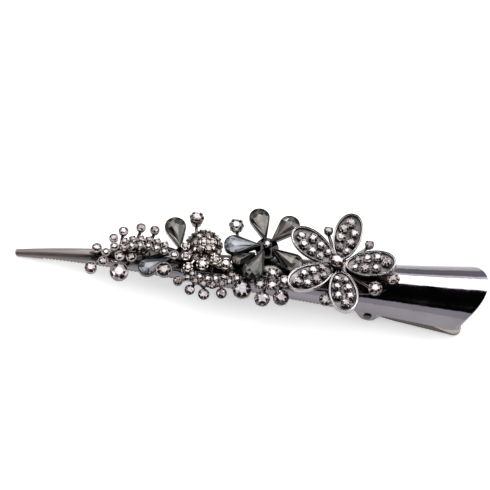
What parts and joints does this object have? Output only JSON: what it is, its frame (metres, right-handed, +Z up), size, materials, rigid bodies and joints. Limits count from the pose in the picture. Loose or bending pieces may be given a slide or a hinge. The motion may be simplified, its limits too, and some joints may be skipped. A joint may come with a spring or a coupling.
{
  "type": "hair clip",
  "caption": "Long beak hair clip with sprung jaws and levers; its back carries jewelled flowers, sprays and claw-set stones in dark polished metal.",
  "frame": {"origin": "under the middle of the clip, on the plane that its beak tip and lower lever stand on", "axes": "+X from the beak's tip to the thumb lever, +Z up through the ornament, Y across the clip and along the hinge pin"},
  "size_m": [0.1366, 0.0326, 0.0211],
  "materials": {
    "upper_jaw": "polished gunmetal plating",
    "lower_jaw": "polished gunmetal plating, duller inside",
    "pin": "polished gunmetal plating",
    "spring": "plain spring wire",
    "backing_plate": "gunmetal plating, satin",
    "settings": "polished gunmetal plating",
    "dish_petals": "polished gunmetal plating",
    "crystal_bezels": "black gunmetal plating",
    "clear_stones": "cut, foil-backed, faint champagne tint",
    "smoky_crystal": "cut, foil-backed, smoky grey"
  },
  "bodies": {
    "clip_top": {"backing_plate": "backing_plate", "claw_cluster_frame": "settings", "claw_cluster_stones": "clear_stones", "dome_frame": "settings", "dome_stones": "clear_stones", "drop_spray_frame": "settings", "drop_spray_stones": "clear_stones", "far_setting_frame": "settings", "far_setting_stones": "clear_stones", "hinge_pin": "pin", "near_setting_frame": "settings", "near_setting_stones": "clear_stones", "pave_hub_frame": "settings", "pave_hub_stones": "clear_stones", "pave_leaf_frame": "settings", "pave_leaf_stones": "clear_stones", "pave_petal_far": "dish_petals", "pave_petal_far_stones": "clear_stones", "pave_petal_inner_far": "dish_petals", "pave_petal_inner_far_stones": "clear_stones", "pave_petal_inner_near": "dish_petals", "pave_petal_inner_near_stones": "clear_stones", "pave_petal_near": "dish_petals", "pave_petal_near_stones": "clear_stones", "pave_petal_outer": "dish_petals", "pave_petal_outer_stones": "clear_stones", "small_hub_frame": "settings", "small_petal_far_bezel": "crystal_bezels", "small_petal_far_crystal": "smoky_crystal", "small_petal_middle_bezel": "crystal_bezels", "small_petal_middle_crystal": "smoky_crystal", "small_petal_near_bezel": "crystal_bezels", "small_petal_near_crystal": "smoky_crystal", "smoky_hub_frame": "settings", "smoky_hub_stones": "clear_stones", "smoky_petal_far_bezel": "crystal_bezels", "smoky_petal_far_crystal": "smoky_crystal", "smoky_petal_inner_bezel": "crystal_bezels", "smoky_petal_inner_crystal": "smoky_crystal", "smoky_petal_left_bezel": "crystal_bezels", "smoky_petal_left_crystal": "smoky_crystal", "smoky_petal_near_bezel": "crystal_bezels", "smoky_petal_near_crystal": "smoky_crystal", "smoky_petal_right_bezel": "crystal_bezels", "smoky_petal_right_crystal": "smoky_crystal", "smoky_petal_under_bezel": "crystal_bezels", "smoky_petal_under_crystal": "smoky_crystal", "tip_spray_frame": "settings", "tip_spray_stones": "clear_stones", "torsion_spring": "spring", "upper_jaw": "upper_jaw"},
    "lower_jaw": {"lower_jaw": "lower_jaw"}
  },
  "joints": [
    {"name": "jaw_hinge", "type": "hinge", "parent": "clip_top", "child": "lower_jaw", "pos_m": [0.0356, -0.0011, 0.00598], "axis": [0, -1, 0], "range_deg": [0, 24], "stiffness_Nm_per_rad": 0.12, "springref_deg": -34.38, "deforming": ["torsion_spring"]}
  ]
}
